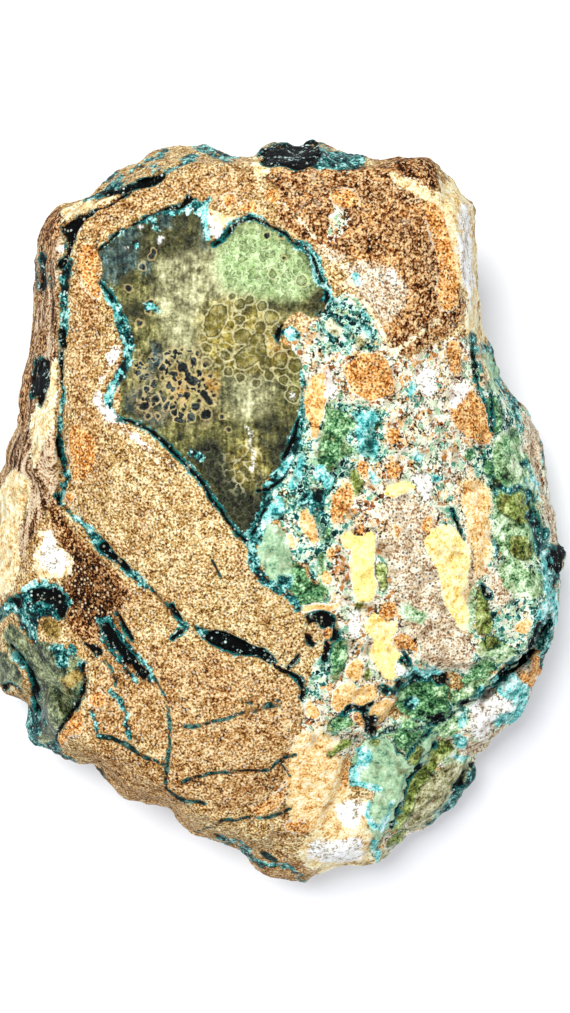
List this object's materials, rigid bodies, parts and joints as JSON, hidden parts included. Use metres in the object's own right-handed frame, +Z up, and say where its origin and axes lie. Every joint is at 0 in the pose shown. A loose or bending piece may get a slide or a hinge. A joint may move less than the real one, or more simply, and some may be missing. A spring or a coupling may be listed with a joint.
{
  "type": "pseudomalachite specimen",
  "caption": "Broken block of tan quartzite breccia, veined and crusted with green and teal copper minerals, with a glossy chalcedony pocket on top. Rests on one flat broken face.",
  "frame": {"origin": "centre of the bounding box at the flat broken face that the block rests on", "axes": "+Z up out of the veined upper face, +Y along the block's length towards the thick end with the pocket, +X to the right with the pocket away from the viewer"},
  "size_m": [0.185, 0.2341, 0.0781],
  "materials": {
    "stone": "rough granular tan to orange-brown quartzite with green and teal crusts and veins, glossy olive-green chalcedony in the pocket"
  },
  "bodies": {
    "root": {"specimen": "stone"}
  },
  "joints": []
}
